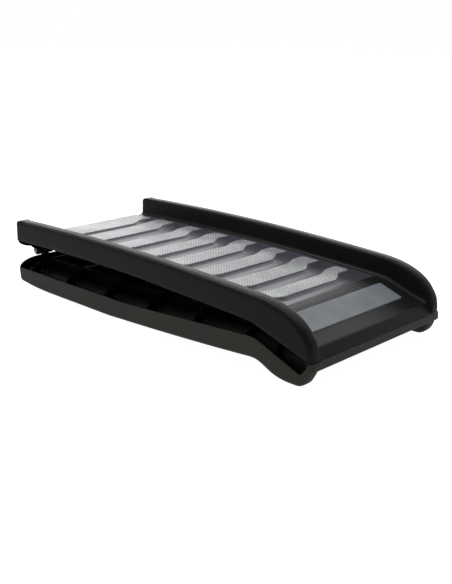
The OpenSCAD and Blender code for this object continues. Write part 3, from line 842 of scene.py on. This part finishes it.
def patch_points(half, rows, t, r):
    """The top and underside of a slab, row by row, and the number of points in a row."""
    width = len(steps_across(rows[0][2] - rows[0][1]))
    top, bottom = [], []
    y_lo, y_hi = rows[0][0], rows[-1][0]
    for y, a, b in rows:
        along = np.array(steps_across(max(b - a, 12)))
        along = along * (b - a) / along[-1]
        if len(along) != width:
            along = np.interp(np.linspace(0, 1, width), np.linspace(0, 1, len(along)), along)
        for u in along:
            d = min(u, (b - a) - u, y - y_lo, y_hi - y)
            z = half.deck(a + u)
            top.append((X0 + a + u, y, z + half.up * pillow(d, t, r)))
            bottom.append((X0 + a + u, y, z - half.up * SINK))
    return top, bottom, width


def patch(name, half, rows, t, r, mat, part):
    """A thin closed slab on a deck. rows is a list of (y, first station, last station)."""
    up, n = half.up, len(rows)
    top, bottom, width = patch_points(half, rows, t, r)
    k = len(top)
    faces = []
    for i in range(n - 1):
        for j in range(width - 1):
            a, d = i * width + j, (i + 1) * width + j
            quad = (a, a + 1, d + 1, d)
            under = (k + d, k + d + 1, k + a + 1, k + a)
            faces += [quad, under] if up > 0 else [quad[::-1], under[::-1]]
    last = (n - 1) * width
    border = [*range(width), *range(2 * width - 1, n * width, width), *range(n * width - 2, last - 1, -1),
              *range(last - width, 0, -width)]
    for a, b in zip(border, border[1:] + border[:1]):
        quad = (b, a, k + a, k + b)
        faces.append(quad if up > 0 else quad[::-1])
    new_object(name, top + bottom, faces, [mat], f"{half.name}_half", [f"{half.name}_{part}"],
               sharp=50)


def strips(half):
    ys = rows_across(TREAD_HALF, TREAD_STEPS)
    for i in range(len(TREADS)):
        rows = [(y, *tread_span(i, y)) for y in ys]
        patch(f"{half.name}_strip_{i + 1}", half, rows, TREAD_T, 2.2, TREAD,
              f"tread_{i + 1}")


def pad_rows(start, length):
    rows = []
    for y in rows_across(PAD_HALF, PAD_STEPS):
        over = max(0.0, abs(y) - (PAD_HALF - PAD_R))
        cut = PAD_R * (1 - math.sqrt(max(0.0, 1 - (over / PAD_R) ** 2)))
        rows.append((y, start + cut, start + length - cut))
    return rows


def grip_pad(half, s0, s1):
    """The non-slip pad in the middle of the slope from s0 to s1."""
    slope = math.atan2(half.deck(s1 - 12) - half.deck(s0 + 14), s1 - s0 - 26)
    length = PAD_LEN * math.cos(slope)
    rows = pad_rows((s0 + s1 - length) / 2, length)
    patch(f"{half.name}_grip_pad", half, rows, PAD_T, 0.9, PAD, "end_pad")


strips(UPPER_HALF)
strips(LOWER_HALF)
grip_pad(UPPER_HALF, 775, 840)
grip_pad(LOWER_HALF, BEND, LOW_DECK_END)

# ---------------------------------------------------------------- floor, light and camera

WALL_GLOW, ROOM_GLOW = 2.3, 0.16        # strengths of the bright wall and of the room round it
FLOOR_SEEN, FLOOR_GLOW = 0.97, 0.32     # the floor's own light, to the camera and to the ramp
FLOOR_HALF, FLOOR_Z = 14.0, -0.0006
CAMERA_AT = (1.28334, -1.2832, 0.61031)
CAMERA_VIEW = (-0.66169, 0.68585, -0.30297)
CAMERA_LENS, SENSOR_W, CAMERA_ROLL = 53.07, 36.0, math.radians(0.61)

scene = bpy.context.scene
scene.view_settings.view_transform = "Standard"
scene.view_settings.look = "None"


def floor():
    mesh = bpy.data.meshes.new("studio_floor")
    square = ((-1, -1), (1, -1), (1, 1), (-1, 1))
    mesh.from_pydata([(x * FLOOR_HALF, y * FLOOR_HALF, FLOOR_Z) for x, y in square], [], [(0, 1, 2, 3)])
    obj = bpy.data.objects.new("studio_floor", mesh)
    scene.collection.objects.link(obj)
    mat, nodes, links, bsdf = material("floor_white")
    bsdf.inputs["Base Color"].default_value = (0.4, 0.4, 0.4, 1)
    bsdf.inputs["Roughness"].default_value = 1.0
    bsdf.inputs["Specular IOR Level"].default_value = 0.0
    bsdf.inputs["Emission Color"].default_value = (1, 1, 1, 1)
    ray = nodes.new("ShaderNodeLightPath").outputs["Is Camera Ray"]
    links.new(span(nodes, links, ray, 0, 1, FLOOR_GLOW, FLOOR_SEEN), bsdf.inputs["Emission Strength"])
    mesh.materials.append(mat)


def soft_span(nodes, links, value, lo, hi, a, b):
    """A smooth step from a at lo to b at hi."""
    result = span(nodes, links, value, lo, hi, a, b)
    result.node.interpolation_type = "SMOOTHSTEP"
    return result


def background(nodes, strength):
    node = nodes.new("ShaderNodeBackground")
    node.inputs["Color"].default_value = (1, 1, 1, 1)
    node.inputs["Strength"].default_value = strength
    return node


def studio_world():
    """White to the camera. To the ramp, a dim room with a bright low wall on the far and hinge side."""
    world = bpy.data.worlds.new("studio")
    scene.world = world
    world.use_nodes = True
    nodes, links = world.node_tree.nodes, world.node_tree.links
    nodes.clear()
    out = nodes.new("ShaderNodeOutputWorld")
    shown, light = background(nodes, 1.0), background(nodes, 1.0)
    way = nodes.new("ShaderNodeTexCoord").outputs["Generated"]
    towards_wall = nodes.new("ShaderNodeVectorMath")
    towards_wall.operation = "DOT_PRODUCT"
    towards_wall.inputs[1].default_value = Vector((-0.66, 0.75, 0.0)).normalized()
    links.new(way, towards_wall.inputs[0])
    height = nodes.new("ShaderNodeSeparateXYZ")
    links.new(way, height.inputs[0])
    glow = maths(nodes, links, "MULTIPLY",
                 soft_span(nodes, links, towards_wall.outputs["Value"], 0.2, 0.85, 0, WALL_GLOW),
                 soft_span(nodes, links, height.outputs["Z"], 0.40, 0.64, 1, 0.06))
    links.new(maths(nodes, links, "ADD", glow, ROOM_GLOW), light.inputs["Strength"])
    choose = nodes.new("ShaderNodeMixShader")
    links.new(nodes.new("ShaderNodeLightPath").outputs["Is Camera Ray"], choose.inputs[0])
    links.new(light.outputs[0], choose.inputs[1])
    links.new(shown.outputs[0], choose.inputs[2])
    links.new(choose.outputs[0], out.inputs["Surface"])


def area(name, at, to, size, power):
    data = bpy.data.lights.new(name, "AREA")
    data.shape = "RECTANGLE"
    data.size, data.size_y = size
    data.energy = power
    obj = bpy.data.objects.new(name, data)
    scene.collection.objects.link(obj)
    obj.location = at
    obj.rotation_euler = (Vector(to) - Vector(at)).to_track_quat("-Z", "Y").to_euler()


def camera():
    view = Vector(CAMERA_VIEW).normalized()
    right = view.cross(Vector((0, 0, 1))).normalized()
    above = right.cross(view)
    cos, sin = math.cos(CAMERA_ROLL), math.sin(CAMERA_ROLL)
    right, above = right * cos + above * sin, above * cos - right * sin
    data = bpy.data.cameras.new("camera")
    data.lens = CAMERA_LENS
    data.sensor_width = SENSOR_W
    obj = bpy.data.objects.new("camera", data)
    scene.collection.objects.link(obj)
    turn = Matrix((right, above, -view)).transposed().to_4x4()
    obj.matrix_world = Matrix.Translation(CAMERA_AT) @ turn
    scene.camera = obj


floor()
studio_world()
area("overhead", (0.2, 0.1, 2.4), (0, 0, 0.1), (2.2, 1.6), 22)
area("nose_light", (-0.55, -0.2, 1.3), (0.25, -0.15, 0.12), (0.5, 0.5), 6.5)
camera()
